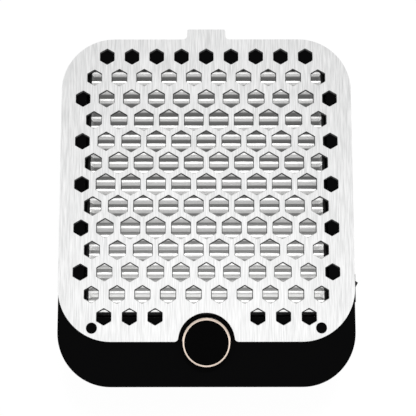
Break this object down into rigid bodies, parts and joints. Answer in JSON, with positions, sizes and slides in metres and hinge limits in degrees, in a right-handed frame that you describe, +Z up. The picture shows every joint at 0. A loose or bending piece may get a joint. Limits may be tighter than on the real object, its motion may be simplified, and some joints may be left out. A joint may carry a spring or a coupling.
{
  "type": "nail dust collector",
  "caption": "Desktop nail dust collector with a lift-off perforated steel cover over a pleated filter, a centrifugal fan, a speed knob and a rocker power switch.",
  "frame": {"origin": "under the middle of the outline, on the surface that the feet stand on", "axes": "+Z up, -Y towards the front where the knob is, +X to the right seen from the front, where the switch is"},
  "size_m": [0.2259, 0.271, 0.067],
  "materials": {
    "shell_black": "satin black moulded plastic",
    "knob_black": "smooth black plastic",
    "cover_steel": "brushed along the length, front to back",
    "rose_metal": "polished rose-gold bevel",
    "filter_white": "white pleated filter media",
    "frame_black": "matt black plastic",
    "seal_foam": "black foam",
    "fan_plastic": "dark grey moulded plastic",
    "zinc_steel": "zinc-plated steel",
    "core_iron": "dark iron",
    "bright_brass": "plain brass",
    "board_green": "green circuit board",
    "foot_rubber": "black rubber",
    "lead_red": "red insulation",
    "lead_black": "black insulation",
    "sink_aluminium": "extruded aluminium",
    "plug_white": "white connector plastic"
  },
  "bodies": {
    "base": {"lower_housing": "shell_black", "upper_housing": "shell_black", "fan_guard": "shell_black", "fan_housing": "fan_plastic", "fan_cover": "fan_plastic", "bearing_tube": "bright_brass", "bearing_lower": "zinc_steel", "bearing_upper": "zinc_steel", "stator_core": "core_iron", "motor_board": "board_green", "potentiometer": "zinc_steel", "potentiometer_washer": "zinc_steel", "potentiometer_nut": "zinc_steel", "switch_frame": "knob_black", "switch_terminal_1": "bright_brass", "switch_terminal_2": "bright_brass", "inlet_socket": "knob_black", "inlet_pin": "zinc_steel", "inlet_nut": "zinc_steel", "control_board": "board_green", "board_capacitor": "frame_black", "board_heat_sink": "sink_aluminium", "board_connector": "plug_white", "board_screw_1": "zinc_steel", "board_screw_2": "zinc_steel", "fan_screw_1": "zinc_steel", "fan_screw_2": "zinc_steel", "fan_screw_3": "zinc_steel", "fan_screw_4": "zinc_steel", "housing_screw_1": "zinc_steel", "housing_screw_2": "zinc_steel", "housing_screw_3": "zinc_steel", "housing_screw_4": "zinc_steel", "housing_screw_5": "zinc_steel", "housing_screw_6": "zinc_steel", "foot_1": "foot_rubber", "foot_2": "foot_rubber", "foot_3": "foot_rubber", "foot_4": "foot_rubber", "motor_lead": "lead_red", "inlet_lead": "lead_black", "switch_lead": "lead_red", "speed_lead": "lead_black"},
    "cover": {"cover_plate": "cover_steel"},
    "filter": {"filter_frame": "frame_black", "filter_media": "filter_white", "filter_seal": "seal_foam"},
    "knob": {"speed_knob": "knob_black", "knob_ring": "rose_metal", "potentiometer_shaft": "zinc_steel"},
    "fan": {"fan_impeller": "fan_plastic", "rotor_cup": "zinc_steel", "rotor_magnet": "core_iron", "motor_shaft": "zinc_steel", "shaft_clip": "zinc_steel"},
    "rocker": {"switch_rocker": "knob_black"}
  },
  "joints": [
    {"name": "cover_lift", "type": "slide", "parent": "base", "child": "cover", "axis": [0, 0, 1], "range_m": [0, 0.09]},
    {"name": "filter_lift", "type": "slide", "parent": "base", "child": "filter", "axis": [0, 0, 1], "range_m": [0, 0.045]},
    {"name": "knob_turn", "type": "hinge", "parent": "base", "child": "knob", "pos_m": [0, -0.10155, 0.0595], "axis": [0, 0, -1], "range_deg": [0, 300]},
    {"name": "fan_spin", "type": "hinge", "parent": "base", "child": "fan", "pos_m": [-0.014, 0.0115, 0.0083], "axis": [0, 0, 1], "continuous": true},
    {"name": "switch_rock", "type": "hinge", "parent": "base", "child": "rocker", "pos_m": [0.10859, -0.06285, 0.0495], "axis": [0, 0, 1], "range_deg": [0, 30]}
  ],
  "couplings": [
    {"joint": "filter_lift", "follows": "cover_lift", "ratio": 0.5}
  ]
}
